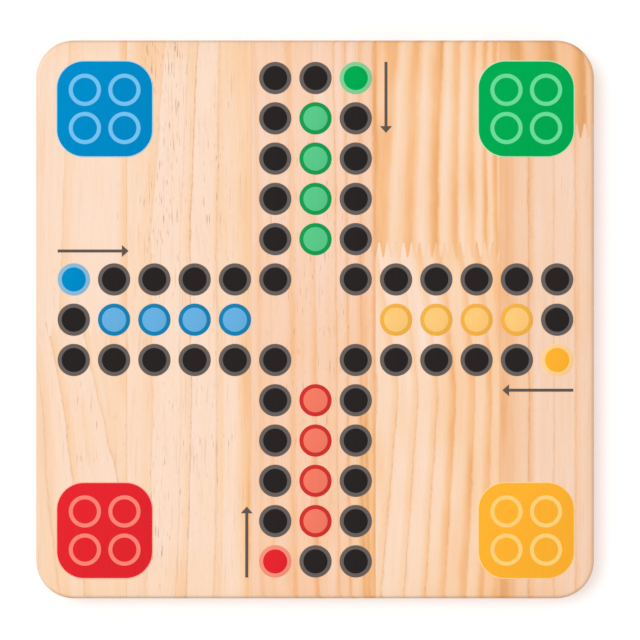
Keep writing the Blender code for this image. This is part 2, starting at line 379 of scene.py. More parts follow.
            (92.6, 2.0, 8.0, 0.58, 0.58), (103.5, 1.6, 4.2, 0.28, 0.52), (111.0, 3.0, 2.0, 0.12, 0.2),
            (115.4, 1.0, 0.9, 0.18, 0.36), (126.0, 1.3, 3.6, 0.16, 0.45), (133.6, 3.0, 1.2, 0.19, 0.34),
        ],
        "lines": [
            (103.4, 0.6, 0.5), (115.5, 0.4, 0.35), (126.1, 0.6, 0.3), (93.0, 0.5, 0.15),
            (96.0, 0.5, 0.15),
        ],
        "left_drift": [(-135, 0.0), (0, 0.0), (95, -0.2)],
        "right_drift": [(-135, 0.3), (0, 0.0), (95, -0.3)],
        "patches": [
            (110, -125, 24, 36, 0.09), (94, -128, 5, 26, 0.14), (90.5, 56, 3, 28, -0.16),
            (103.5, -130, 3, 24, -0.18), (89.5, -130, 2.5, 24, 0.2), (100, 4, 8, 18, 0.08),
            (111, -134, 13, 14, 0.16), (91.5, -131, 2, 14, 0.12), (91.5, -42, 2.5, 30, 0.18),
        ],
        "amber_zones": [],
        "fleck_zones": [],
        "grain": 1.2,
        "hairs": 0.25,
        "tilt": 0.8,
        "seed": 8.0,
    },
}
LINE_BROWN = (197, 137, 102)
HAIR_BROWN = (216, 160, 124)
FLECK_BROWN = (172, 120, 92)
GLUE_BROWN = (214, 158, 118)
# Painted highlight: the paler colour put on the outer rounding of the edges and on the upright sides
EDGE_HIGHLIGHT = (255, 232, 213)
END_GRAIN = (222, 188, 160)
END_RING = (196, 132, 84)
AMBER = (1.0, 1.045, 0.96)

# Noises of the wood: width and length of their grains in mm, shift of the seed, detail, roughness
NOISES = {
    "slow waver": (30.0, 45.0, 0.0, 2.0, 0.5),
    "quick waver": (3.0, 9.0, 5.0, 2.0, 0.5),
    "ragged waver": (1.1, 3.5, 29.0, 2.0, 0.5),
    "long fibres": (0.8, 24.0, 0.0, 2.0, 0.6),
    "short fibres": (1.0, 3.0, 11.0, 2.0, 0.6),
    "streaks": (2.4, 60.0, 3.0, 2.0, 0.5),
    "clouds": (9.0, 40.0, 7.0, 2.0, 0.5),
    "hairs": (0.8, 26.0, 31.0, 1.0, 0.5),
    "flecks": (0.5, 9.0, 19.0, 1.0, 0.5),
}
SEED_STEP = 37.0

# Most of a noise lies in this range
NOISE_RANGE = (0.3, 0.7)

# How far each noise moves the rings sideways, in mm
WAVERS = {"slow waver": 1.6, "quick waver": 1.2, "ragged waver": 0.9}

# Rings, in mm: the widest drift, the margin of their ramp beside the stave, and how far from
# the board's middle the front rings give way to the others
BOARD_MM = BOARD_SIDE / MM
DRIFT_RANGE = 60.0
SPAN_MARGIN = 12.0
FRONT_BLEND = 60.0

# Figure of the wood: what the clouds, streaks and fibres do to the tone, how far the fibres
# shade the colour, and the share of a patch's reach that has its full strength
CLOUD_CONTRAST = (0.85, 1.15)
CLOUD_TONE = 0.16
STREAK_TONE = 0.22
FIBRE_TONE = 0.3
FIBRE_SHADE = 0.05
PATCH_CORE = 0.2

# Lines, hairlines and flecks: ranges of their noises and how strong they are. A zone's density
# adds to the noise of the flecks, which fade towards the rim of the zone.
LINE_GAPS = (0.35, 0.65)
LINE_LEAST = 0.3
LINE_FADED = 0.2
HAIR_RANGE = (0.62, 0.76)
FLECK_GAIN = 0.1
FLECK_RANGE = (0.72, 0.8)
FLECK_DARKNESS = 0.7
FLECK_ZONE_RIM = 0.15

# Glue lines, in mm from the side of the stave
GLUE_RANGE = (0.05, 0.35)
GLUE_DARKNESS = 0.3

# Rounded edges: ranges of how level the wood lies, 1 for flat and 0 for upright, and the rim in mm. Painted
# shade darkens the edges where they begin to turn and near the rim; a painted highlight makes them paler
# farther out and on the upright sides
TURN_RANGE = (0.94, 1.0)
TURN_PAINTED_SHADE = 0.965
RIM_START = 7.0
RIM_END = 1.0
RIM_PAINTED_SHADE = 0.97
EDGE_HIGHLIGHT_RANGE = (0.2, 0.85)
EDGE_HIGHLIGHT_SHARE = 0.7
SIDE_RANGE = (0.0, 0.3)
SIDE_SHARE = 0.4

# End grain: ranges of how squarely the wood faces along the grain, and of the tones of its rings
END_RANGE = (0.25, 0.95)
END_SHARE = 0.55
END_RING_RANGE = (0.8, 1.0)
END_RING_TONES = (0.15, 0.8)
END_RING_SHARE = 0.5

# Gloss and relief of the wood and of the ink
WOOD_ROUGHNESS = (0.62, 0.5)
WOOD_SPECULAR = 0.3
WOOD_RELIEF = 0.12
WOOD_RELIEF_HEIGHT = 0.03 * MM
INK_ROUGHNESS = (0.6, 0.5)
INK_SPECULAR = 0.0
INK_RELIEF = 0.08
INK_RELIEF_HEIGHT = 0.02 * MM

# Fibres that show through the ink, in grains per metre, and how they deepen or wear it
INK_FIBRES = (1.1 / MM, 0.05 / MM, 1.1 / MM)
INK_FIBRE_DETAIL = 3.0
INK_FIBRE_ROUGHNESS = 0.6
INK_DEEP = 0.98
INK_WORN = 1.02
INK_WORN_LIFT = 0.001

# Inks, each in its own depth: the nests, their rings and rims, and the start and home fields
INKS = {
    "black": (41, 37, 36),
    "grey": (104, 96, 93),
    "arrow": (98, 86, 80),
    "blue": (0, 139, 201),
    "blue_rim": (190, 214, 228),
    "blue_light": (115, 194, 239),
    "blue_start": (138, 187, 217),
    "blue_home": (103, 176, 224),
    "blue_home_ring": (22, 130, 179),
    "green": (0, 170, 81),
    "green_rim": (200, 230, 190),
    "green_light": (107, 220, 155),
    "green_start": (129, 207, 151),
    "green_home": (89, 200, 136),
    "green_home_ring": (22, 156, 81),
    "yellow": (255, 177, 48),
    "yellow_rim": (255, 213, 150),
    "yellow_light": (255, 208, 122),
    "yellow_start": (253, 209, 141),
    "yellow_home": (254, 202, 121),
    "yellow_home_ring": (242, 177, 69),
    "red": (229, 38, 47),
    "red_rim": (255, 180, 155),
    "red_light": (255, 133, 117),
    "red_start": (245, 145, 124),
    "red_home": (243, 123, 99),
    "red_home_ring": (210, 51, 47),
}


class Nodes:
    """A new material and the nodes that make it, added one call at a time."""

    def __init__(self, name):
        self.material = bpy.data.materials.new(name)
        self.material.use_nodes = True
        self.tree = self.material.node_tree
        self.shader = self.tree.nodes["Principled BSDF"]

    def put(self, socket, value):
        """Set a socket to a number, a colour or vector, or another node's output."""
        if isinstance(value, bpy.types.NodeSocket):
            self.tree.links.new(value, socket)
        elif value is not None:
            socket.default_value = value

    def add(self, kind, **settings):
        node = self.tree.nodes.new(kind)
        for name, value in settings.items():
            setattr(node, name, value)
        return node

    def math(self, operation, first, second=None, third=None):
        node = self.add("ShaderNodeMath", operation=operation)
        for socket, value in zip(node.inputs, (first, second, third)):
            self.put(socket, value)
        return node.outputs[0]

    def scaled(self, vector, scale):
        """A vector times a number for each axis."""
        node = self.add("ShaderNodeVectorMath", operation="MULTIPLY")
        self.put(node.inputs[0], vector)
        self.put(node.inputs[1], scale)
        return node.outputs[0]

    def combined(self, x, y, z):
        node = self.add("ShaderNodeCombineXYZ")
        for socket, value in zip(node.inputs, (x, y, z)):
            self.put(socket, value)
        return node.outputs[0]

    def separated(self, vector):
        node = self.add("ShaderNodeSeparateXYZ")
        self.put(node.inputs[0], vector)
        return node.outputs[0], node.outputs[1], node.outputs[2]

    def noise(self, vector, detail, roughness):
        """Noise about 0.5 whose grains are one unit of the vector across."""
        node = self.add("ShaderNodeTexNoise")
        self.put(node.inputs["Vector"], vector)
        self.put(node.inputs["Scale"], 1.0)
        self.put(node.inputs["Detail"], detail)
        self.put(node.inputs["Roughness"], roughness)
        return node.outputs["Fac"]

    def between(self, value, low, high, to_low=0.0, to_high=1.0, smooth=True):
        """A value carried from one range to another, and held at the ends."""
        node = self.add("ShaderNodeMapRange", interpolation_type="SMOOTHSTEP" if smooth else "LINEAR")
        for socket, number in zip(node.inputs, (value, low, high, to_low, to_high)):
            self.put(socket, number)
        return node.outputs[0]

    def mix(self, factor, first, second, blend="MIX"):
        """Two colours mixed."""
        node = self.add("ShaderNodeMix", data_type="RGBA", blend_type=blend)
        self.put(node.inputs["Factor"], factor)
        self.put(node.inputs[6], first)
        self.put(node.inputs[7], second)
        return node.outputs[2]

    def blend(self, factor, first, second):
        """Two numbers mixed."""
        node = self.add("ShaderNodeMix", data_type="FLOAT")
        self.put(node.inputs["Factor"], factor)
        self.put(node.inputs[2], first)
        self.put(node.inputs[3], second)
        return node.outputs[0]

    def ramp(self, factor, stops, interpolation="LINEAR"):
        """Colour ramp from stops of (position, colour), in order."""
        node = self.add("ShaderNodeValToRGB")
        node.color_ramp.interpolation = interpolation
        elements = node.color_ramp.elements
        while len(elements) < len(stops):
            elements.new(0.5)
        for element, (position, shade) in zip(elements, stops):
            element.position = min(max(position, 0.0), 1.0)
            element.color = shade
        self.put(node.inputs[0], factor)
        return node.outputs[0]

    def curve(self, value, points):
        """A smooth curve through points of (0 to 1, 0 to 1)."""
        node = self.add("ShaderNodeFloatCurve")
        line = node.mapping.curves[0]
        while len(line.points) < len(points):
            line.points.new(0.5, 0.5)
        for point, (x, y) in zip(line.points, points):
            point.location = (x, y)
        node.mapping.update()
        self.put(node.inputs["Value"], value)
        return node.outputs[0]

    def bump(self, height, strength, distance):
        node = self.add("ShaderNodeBump")
        self.put(node.inputs["Strength"], strength)
        self.put(node.inputs["Distance"], distance)
        self.put(node.inputs["Height"], height)
        return node.outputs[0]

    def shaded(self, base, shade):
        """A colour times one number."""
        return self.mix(1.0, base, self.combined(shade, shade, shade), "MULTIPLY")

    def total(self, first, *others):
        """Numbers added up."""
        for other in others:
            first = self.math("ADD", first, other)
        return first

    def swing(self, noise, reach, middle=0.0):
        """A noise spread about a middle value, half of the reach to either side."""
        return self.math("MULTIPLY_ADD", noise, reach, middle - reach / 2)

    def finish(self, base, fibres, roughness, specular, relief, height):
        """Colour, gloss and fine relief of a surface that shows the wood's fibres."""
        gloss = self.between(fibres, *NOISE_RANGE, *roughness, smooth=False)
        self.put(self.shader.inputs["Base Color"], base)
        self.put(self.shader.inputs["Roughness"], gloss)
        self.put(self.shader.inputs["Specular IOR Level"], specular)
        self.put(self.shader.inputs["Normal"], self.bump(fibres, relief, height))
        return self.material


def grey(value):
    return (value, value, value, 1.0)


def ring_stops(rings, low, high):
    """Stops of a ramp that climbs to each ring's late wood and falls back to the next early wood."""
    rings = sorted(rings)
    stops = []
    reached = low
    for (x, rise, fall, early, late), following in zip(rings, rings[1:] + rings[-1:]):
        stops += [(max(x - rise, reached), early), (x, late), (x + fall, following[3])]
        reached = x + fall
    return [((x - low) / (high - low), grey(value)) for x, value in stops if low < x < high]


def line_stops(lines, low, high):
    """Stops of a ramp with a narrow peak at each line."""
    stops = []
    for x, half_width, darkness in sorted(lines):
        stops += [(x - half_width, 0.0), (x, darkness), (x + half_width, 0.0)]
    return [((x - low) / (high - low), grey(value)) for x, value in stops if low < x < high]


class Pine(Nodes):
    """Pine with growth rings, fine grain, resin flecks and end grain, for one length of a stave."""

    def __init__(self, name, wood, left, right):
        super().__init__(name + "_wood")
        self.wood = wood
        self.left = left
        self.right = right
        coordinates = self.add("ShaderNodeTexCoord").outputs["Object"]
        self.x, self.y, self.z = self.separated(self.scaled(coordinates, (1 / MM,) * 3))
        self.short_fibres = self.grain("short fibres")
        long_half = self.math("MULTIPLY", self.grain("long fibres"), 0.5)
        short_half = self.math("MULTIPLY", self.short_fibres, 0.5)
        self.fibres = self.math("ADD", long_half, short_half)

    def grain(self, kind, across=None):
        """One of the noises, drawn out along Y. It can follow the rings in place of X."""
        if across is None:
            across = self.x
        width, length, shift, detail, roughness = NOISES[kind]
        seed = self.wood["seed"] * SEED_STEP + shift
        place = self.combined(
            self.math("MULTIPLY_ADD", across, 1 / width, seed),
            self.math("MULTIPLY", self.y, 1 / length),
            self.math("MULTIPLY_ADD", self.z, 1 / width, seed),
        )
        return self.noise(place, detail, roughness)

    def patch(self, centre_x, centre_y, half_width, half_length):
        """A soft oval that is 1 in its middle and 0 from its rim on."""
        beside = self.math("MULTIPLY_ADD", self.x, 1 / half_width, -centre_x / half_width)
        along = self.math("MULTIPLY_ADD", self.y, 1 / half_length, -centre_y / half_length)
        away = self.add("ShaderNodeVectorMath", operation="LENGTH")
        self.put(away.inputs[0], self.combined(beside, along, 0.0))
        return self.between(away.outputs["Value"], PATCH_CORE, 1.0, 1.0, 0.0)

    def drift(self, points):
        """The sideways drift of the grain at a height, from points of (y, shift)."""
        along = self.math("MULTIPLY_ADD", self.y, 1 / BOARD_MM, 0.5)
        placed = sorted((y / BOARD_MM + 0.5, shift / DRIFT_RANGE + 0.5) for y, shift in points)
        return self.swing(self.curve(along, placed), DRIFT_RANGE)

    def ring_place(self):
        """X without the grain's drift, waver and lean: where a point lies among the growth rings."""
        across = self.between(self.x, self.left, self.right, smooth=False)
        drift = self.blend(across, self.drift(self.wood["left_drift"]), self.drift(self.wood["right_drift"]))
        waver = self.total(*(self.swing(self.grain(kind), reach) for kind, reach in WAVERS.items()))
        lean = self.math("MULTIPLY", self.math("SUBTRACT", self.z, BOARD_TOP / MM), self.wood["tilt"])
        return self.math("ADD", self.math("SUBTRACT", self.x, drift), self.math("ADD", waver, lean))

    def rings(self, ring_x):
        """Tone of the growth rings, and the darkness of the lines at their edges."""
        low = self.left - SPAN_MARGIN
        high = self.right + SPAN_MARGIN
        along = self.between(ring_x, low, high, smooth=False)
        tone = self.ramp(along, ring_stops(self.wood["rings"], low, high), "EASE")
        if "front_rings" in self.wood:
            front_tone = self.ramp(along, ring_stops(self.wood["front_rings"], low, high), "EASE")
            tone = self.blend(self.between(self.y, -FRONT_BLEND, FRONT_BLEND), front_tone, tone)
        return tone, self.ramp(along, line_stops(self.wood["lines"], low, high), "EASE")

    def figure(self, tone, ring_x):
        """The rings' tone with clouds, streaks, fibres and patches."""
        clouds = self.grain("clouds")
        streaks = self.grain("streaks", ring_x)
        tone = self.math("MULTIPLY", tone, self.between(clouds, *NOISE_RANGE, *CLOUD_CONTRAST, smooth=False))
        tone = self.total(
            tone,
            self.swing(streaks, STREAK_TONE, self.wood["depth"]),
            self.swing(clouds, CLOUD_TONE),
            self.swing(self.fibres, FIBRE_TONE * self.wood["grain"]),
        )
        for *oval, added in self.wood["patches"]:
            tone = self.math("MULTIPLY_ADD", self.patch(*oval), added, tone)
        return tone

    def tinted(self, tone):
        """The tone as a colour of pine, with the stave's cast, its yellower zones and its fibres."""
        base = self.ramp(tone, [(share, colour(*shade)) for share, shade in PINE_SHADES])
        base = self.mix(1.0, base, (*self.wood["cast"], 1.0), "MULTIPLY")
        for *oval, strength in self.wood["amber_zones"]:
            amount = self.math("MULTIPLY", self.patch(*oval), strength)
            base = self.mix(amount, base, (*AMBER, 1.0), "MULTIPLY")
        contrast = FIBRE_SHADE * self.wood["grain"]
        shade = self.between(self.fibres, *NOISE_RANGE, 1.0 - contrast, 1.0 + contrast, smooth=False)
        return self.shaded(base, shade)

    def with_lines(self, base, lines):
        """Thin brown ring edges, broken up by the short fibres."""
        broken = self.between(self.short_fibres, *LINE_GAPS, LINE_LEAST, 1.0)
        if "lines_fade" in self.wood:
            faded = self.between(self.y, *self.wood["lines_fade"], 1.0, LINE_FADED)
            broken = self.math("MULTIPLY", broken, faded)
        return self.mix(self.math("MULTIPLY", lines, broken), base, colour(*LINE_BROWN))

    def with_hairs(self, base):
        """Hairlines: thin, long and faint."""
        hairs = self.between(self.grain("hairs"), *HAIR_RANGE)
        return self.mix(self.math("MULTIPLY", hairs, self.wood["hairs"]), base, colour(*HAIR_BROWN))

    def with_flecks(self, base):
        """Resin flecks: short dark strokes along the grain, thick in a few zones."""
        density = 0.0
        for *oval, strength in self.wood["fleck_zones"]:
            density = self.math("MAXIMUM", density, self.math("MULTIPLY", self.patch(*oval), strength))
        strokes = self.math("MULTIPLY_ADD", density, FLECK_GAIN, self.grain("flecks"))
        strokes = self.between(strokes, *FLECK_RANGE, 0.0, FLECK_DARKNESS)
        strokes = self.math("MULTIPLY", strokes, self.between(density, 0.0, FLECK_ZONE_RIM))
        return self.mix(strokes, base, colour(*FLECK_BROWN))

    def with_glue(self, base):
        """A faint glue line at each side of the stave."""
        from_left = self.math("ABSOLUTE", self.math("SUBTRACT", self.x, self.left))
        from_right = self.math("ABSOLUTE", self.math("SUBTRACT", self.x, self.right))
        nearest = self.math("MINIMUM", from_left, from_right)
        return self.mix(self.between(nearest, *GLUE_RANGE, GLUE_DARKNESS, 0.0), base, colour(*GLUE_BROWN))

    def with_painted_edge_light(self, base, normal_z):
        """Painted shade on the rounded edges where they begin to turn and near the rim, and a paler painted
        highlight farther out and on the upright sides.
        """
        level = self.math("ABSOLUTE", normal_z)
        outward = self.math("MAXIMUM", self.math("ABSOLUTE", self.x), self.math("ABSOLUTE", self.y))
        # Painted shade: the wood grows darker over the last mm towards the board's rim
        rim = self.between(outward, BOARD_MM / 2 - RIM_START, BOARD_MM / 2 - RIM_END, 1.0, RIM_PAINTED_SHADE)
        # Painted shade where the rounding begins to turn down from the flat face
        turning = self.between(level, *TURN_RANGE, TURN_PAINTED_SHADE, 1.0)
        base = self.shaded(base, self.math("MULTIPLY", turning, rim))
        # Painted highlight: the paler colour on the outer rounding, weaker on the upright sides
        painted_highlight = self.between(level, *EDGE_HIGHLIGHT_RANGE, EDGE_HIGHLIGHT_SHARE, 0.0)
        not_upright = self.between(level, *SIDE_RANGE, SIDE_SHARE, 1.0)
        return self.mix(self.math("MULTIPLY", painted_highlight, not_upright), base, colour(*EDGE_HIGHLIGHT))

    def with_end_grain(self, base, tone, normal_y):
        """End grain drinks more light than the faces along the grain, most of all in the late wood."""
        facing_end = self.math("ABSOLUTE", normal_y)
        end = self.between(facing_end, *END_RANGE, 0.0, END_SHARE)
        base = self.mix(end, base, colour(*END_GRAIN), "MULTIPLY")
        late_wood = self.between(tone, *END_RING_TONES, 0.0, END_RING_SHARE)
        end_rings = self.math("MULTIPLY", self.between(facing_end, *END_RING_RANGE), late_wood)
        return self.mix(end_rings, base, colour(*END_RING))


def make_wood(name, wood, left, right):
    """The pine of one length of a stave, which lies between two places along X in mm."""
    pine = Pine(name, wood, left, right)
    ring_x = pine.ring_place()
    tone, lines = pine.rings(ring_x)
    tone = pine.figure(tone, ring_x)
    base = pine.tinted(tone)
    base = pine.with_lines(base, lines)
    base = pine.with_hairs(base)
    base = pine.with_flecks(base)
    base = pine.with_glue(base)
    _, normal_y, normal_z = pine.separated(pine.add("ShaderNodeNewGeometry").outputs["Normal"])
    # Painted shade and painted highlight on the rounded edges
    base = pine.with_painted_edge_light(base, normal_z)
    base = pine.with_end_grain(base, tone, normal_y)
    return pine.finish(base, pine.fibres, WOOD_ROUGHNESS, WOOD_SPECULAR, WOOD_RELIEF, WOOD_RELIEF_HEIGHT)


def make_ink(name, tint):
    """Thin matt ink, through which the wood's fibres show as faint streaks."""
    nodes = Nodes("ink_" + name)
    coordinates = nodes.add("ShaderNodeTexCoord").outputs["Object"]
    fibres = nodes.noise(nodes.scaled(coordinates, INK_FIBRES), INK_FIBRE_DETAIL, INK_FIBRE_ROUGHNESS)
    red, green, blue, _ = colour(*tint)
    deep = [channel * INK_DEEP for channel in (red, green, blue)]
    worn = [min(1.0, channel * INK_WORN + INK_WORN_LIFT) for channel in (red, green, blue)]
    streaks = nodes.between(fibres, *NOISE_RANGE, smooth=False)
    base = nodes.mix(streaks, (*deep, 1.0), (*worn, 1.0))
    return nodes.finish(base, fibres, INK_ROUGHNESS, INK_SPECULAR, INK_RELIEF, INK_RELIEF_HEIGHT)


def add_object(name, mesh):
    made = bpy.data.objects.new(name, mesh)
    bpy.context.scene.collection.objects.link(made)
    return made


def add_prism(bm, outline, bottom, top):
    """Add one closed prism over an anticlockwise outline and return its faces, lowest first."""
    lower = [bm.verts.new((x, y, bottom)) for x, y in outline]
    upper = [bm.verts.new((x, y, top)) for x, y in outline]
    faces = [bm.faces.new(list(reversed(lower))), bm.faces.new(upper)]
    for here in range(len(outline)):
        after = (here + 1) % len(outline)
        faces.append(bm.faces.new((lower[here], lower[after], upper[after], upper[here])))
    return faces


def round_edges(bm, edges, radius, segments):
    """Round the edges of a new shape, whose normals the bevel needs."""
    bm.normal_update()
    bmesh.ops.bevel(bm, geom=edges, offset=radius, segments=segments, profile=ROUND_PROFILE, affect="EDGES")


def circle(centre, radius):
    turns = [math.tau * step / FIELD_SEGMENTS for step in range(FIELD_SEGMENTS)]
    return [(centre[0] + radius * math.cos(turn), centre[1] + radius * math.sin(turn)) for turn in turns]


def rounded_square(centre, side, radius, segments):
    """Anticlockwise outline of a square whose corners are arcs."""
    reach = side / 2 - radius
    points = []
    for corner in range(4):
        start = corner * QUARTER_TURN
        middle = start + QUARTER_TURN / 2
        arc_x = centre[0] + math.copysign(reach, math.cos(middle))
        arc_y = centre[1] + math.copysign(reach, math.sin(middle))
        for step in range(segments + 1):
            turn = start + QUARTER_TURN * step / segments
            points.append((arc_x + radius * math.cos(turn), arc_y + radius * math.sin(turn)))
    return points


def turned(points, quarters):
    """Points of the print after clockwise quarter turns, moved with the print's small shift."""
    rotation = Matrix.Rotation(-quarters * QUARTER_TURN, 2)
    shift = Vector((PRINT_SHIFT_X, PRINT_SHIFT_Y))
    return [tuple(rotation @ Vector(point) + shift) for point in points]


def make_blank():
    """The whole panel with its rounded edges, before it is parted into staves."""
    bm = bmesh.new()
    add_prism(bm, rounded_square((0.0, 0.0), BOARD_SIDE, CORNER_RADIUS, CORNER_SEGMENTS), 0.0, BOARD_TOP)
    rims = [edge for edge in bm.edges if abs(edge.verts[0].co.z - edge.verts[1].co.z) < BOARD_TOP / 2]
    round_edges(bm, rims, EDGE_ROUNDING, EDGE_SEGMENTS)
    mesh = bpy.data.meshes.new("panel_blank")
    bm.to_mesh(mesh)
    bm.free()
    return add_object("panel_blank", mesh)


def node_names(number):
    """Names of the lengths of a stave, the rear one first."""
    plain = f"stave_{number}"
    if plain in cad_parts:
        return [plain]
    return [plain + "_rear", plain + "_front"]


def stave_sides(number):
    """The glue lines or board edges between which a stave lies."""
    low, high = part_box(node_names(number)[0])
    left = -BOARD_HALF
    right = BOARD_HALF
    if low.x > -BOARD_HALF + EDGE_ROUNDING:
        _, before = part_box(node_names(number - 1)[0])
        left = (before.x + low.x) / 2
    if high.x < BOARD_HALF - EDGE_ROUNDING:
        after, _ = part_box(node_names(number + 1)[0])
        right = (high.x + after.x) / 2
    return left, right


def finger_line(number, left, right, shift):
    """Points of a finger joint's zigzag from -X to +X, moved along Y by a shift."""
    rear, front = node_names(number)
    joint_y = (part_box(rear)[0].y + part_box(front)[1].y) / 2
    middle_left, middle_right = stave_sides(MIDDLE_STAVE)
    glue_line = middle_right + (number - MIDDLE_STAVE - 1) * (middle_right - middle_left)
    first_tip = glue_line + TIP_SHARES[number] * FINGER_PITCH
    low_y = joint_y - FINGER_LENGTH / 2 + shift
    flat = FINGER_TIP_WIDTH / 2

    def height(x):
        phase = (x - first_tip) / FINGER_PITCH
        from_tip = abs(phase - round(phase)) * FINGER_PITCH
        share = (from_tip - flat) / (FINGER_PITCH / 2 - 2 * flat)
        return low_y + FINGER_LENGTH * min(max(share, 0.0), 1.0)

    corners = []
    first = math.floor((left - first_tip) / FINGER_PITCH) - 1
    last = math.ceil((right - first_tip) / FINGER_PITCH) + 1
    for finger in range(first, last + 1):
        tip = first_tip + finger * FINGER_PITCH
        root = FINGER_PITCH / 2 - flat
        corners += [tip - root, tip - flat, tip + flat, tip + root]
    inside = [x for x in corners if left < x < right]
    return [(x, height(x)) for x in [left, *inside, right]]


def stave_outline(number, side):
    """Outline that cuts one length of a stave from the panel.

    The side is 1 for the rear length, -1 for the front one and 0 for a stave of one length.
    """
    left, right = stave_sides(number)
    cut_left = left - OVERRUN if left <= -BOARD_HALF else left
    cut_right = right + OVERRUN if right >= BOARD_HALF else right
    reach = BOARD_HALF + OVERRUN
    front_line = [(cut_left, -reach), (cut_right, -reach)]
    rear_line = [(cut_left, reach), (cut_right, reach)]
    if side > 0:
        front_line = finger_line(number, cut_left, cut_right, TIP_VOID / 2)
    if side < 0:
        rear_line = finger_line(number, cut_left, cut_right, -TIP_VOID / 2)
    return front_line + list(reversed(rear_line))


def cut_from_panel(name, outline, blank):
    """A new object with the part of the panel that lies over an outline."""
    bm = bmesh.new()
    add_prism(bm, outline, -OVERRUN, BOARD_TOP + OVERRUN)
    mesh = bpy.data.meshes.new(name)
    bm.to_mesh(mesh)
    bm.free()
    stave = add_object(name, mesh)
    cut = stave.modifiers.new("panel", "BOOLEAN")
    cut.operation = "INTERSECT"
    cut.solver = "EXACT"
    cut.object = blank
    bpy.context.view_layer.update()
    shape = bpy.data.meshes.new_from_object(stave.evaluated_get(bpy.context.evaluated_depsgraph_get()))
    stave.modifiers.clear()
    stave.data = shape
    return stave


def make_stave(name, number, side, blank):
    """One length of a stave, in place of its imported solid."""
    stave = cut_from_panel(name + "_wood", stave_outline(number, side), blank)
    shape = stave.data
    shape.shade_smooth()
    shape.set_sharp_from_angle(angle=SMOOTH_ANGLE)
    weighted = stave.modifiers.new("flat_faces_first", "WEIGHTED_NORMAL")
    weighted.keep_sharp = True
    left, right = stave_sides(number)
    shape.materials.clear()
    shape.materials.append(make_wood(name, WOODS[name], left / MM, right / MM))
    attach(stave, "root")
    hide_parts(name)


def make_staves():
    blank = make_blank()
    for number in range(1, STAVES + 1):
        names = node_names(number)
        sides = (0,) if len(names) == 1 else (1, -1)
        for name, side in zip(names, sides):
            make_stave(name, number, side, blank)
    bpy.data.objects.remove(blank, do_unlink=True)


def add_plate(bm, outline, top):
    """A thin plate of ink, rooted a little in the wood, with its upper rim softened."""
    faces = add_prism(bm, outline, BOARD_TOP - INK_ROOT, top)
    round_edges(bm, list(faces[1].edges), INK_ROUNDING, INK_EDGE_SEGMENTS)


def add_ring(bm, centre, outer, inner, top):
    """A flat ring of ink with upright walls and softened upper rims."""
    profile = [
        (outer, BOARD_TOP - INK_ROOT),
        (outer, top - INK_ROUNDING),
        (outer - INK_ROUNDING, top),
        (inner + INK_ROUNDING, top),
        (inner, top - INK_ROUNDING),
        (inner, BOARD_TOP - INK_ROOT),
    ]
    loops = []
    for radius, height in profile:
        loops.append([bm.verts.new((x, y, height)) for x, y in circle(centre, radius)])
    for this, following in zip(loops, loops[1:] + loops[:1]):
        for here in range(FIELD_SEGMENTS):
            after = (here + 1) % FIELD_SEGMENTS
            bm.faces.new((this[here], this[after], following[after], following[here]))


def quarter_fields():
    """Grid steps (column, row) of the black, start and home fields in one quarter of the layout."""
    black = [(-FIELD_STEPS, 0)]
    black += [(-step, 1) for step in range(1, FIELD_STEPS)]
    black += [(-1, step) for step in range(2, FIELD_STEPS + 1)]
    home = [(-step, 0) for step in range(2, FIELD_STEPS)]
    return {"black": black, "start": [(-FIELD_STEPS, 1)], "home": home}


def field_centres(steps, quarters):
    places = [(column * FIELD_PITCH, row * FIELD_PITCH) for column, row in steps]
    return turned(places, quarters)


def arrow_outline(step):
    """The arrow in the blue quarter's place, which points the way the pieces move."""
    line = FIELD_PITCH + ARROW_FROM_TRACK + step * ARROW_SIDESTEP
    tail = -ARROW_TAIL
    tip = tail + ARROW_LENGTH
    neck = tip - ARROW_HEAD_LENGTH
    shaft = ARROW_SHAFT_WIDTH / 2
    head = ARROW_HEAD_WIDTH / 2
    return [
        (tail, line - shaft),
        (neck, line - shaft),
        (neck, line - head),
        (tip, line),
        (neck, line + head),
        (neck, line + shaft),
        (tail, line + shaft),
    ]


def finish_ink(bm, name, ink):
    """Turn the collected plates of one ink into a piece of the board."""
    bmesh.ops.recalc_face_normals(bm, faces=bm.faces[:])
    mesh = bpy.data.meshes.new(name)
    bm.to_mesh(mesh)
    bm.free()
    mesh.shade_smooth()
    mesh.set_sharp_from_angle(angle=SMOOTH_ANGLE)
    mesh.materials.append(make_ink(ink, INKS[ink]))
    piece = add_object(name, mesh)
    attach(piece, "root")


def make_black_print():
    grey_fields = bmesh.new()
    black_centres = bmesh.new()
    arrows = bmesh.new()
    for quarters, name in enumerate(QUARTERS):
        for centre in field_centres(quarter_fields()["black"], quarters):
            add_plate(grey_fields, circle(centre, FIELD_RADIUS), SECOND_COAT)
            add_plate(black_centres, circle(centre, CENTRE_RADIUS), THIRD_COAT)
        add_plate(arrows, turned(arrow_outline(ARROW_STEPS[name]), quarters), SECOND_COAT)
    finish_ink(grey_fields, "print_grey_field_rings", "grey")
    finish_ink(black_centres, "print_black_field_centres", "black")
    finish_ink(arrows, "print_arrows", "arrow")


def nest_ring_centres(quarters):
    """Centres of the four rings of a nest; their spacing isn't turned with the layout."""
    nest = Vector(turned([(-NEST_CENTRE, NEST_CENTRE)], quarters)[0])
    half_x = NEST_RING_SPACING_X / 2
    half_y = NEST_RING_SPACING_Y / 2
    return [(nest.x + side_x * half_x, nest.y + side_y * half_y) for side_x in (-1, 1) for side_y in (-1, 1)]


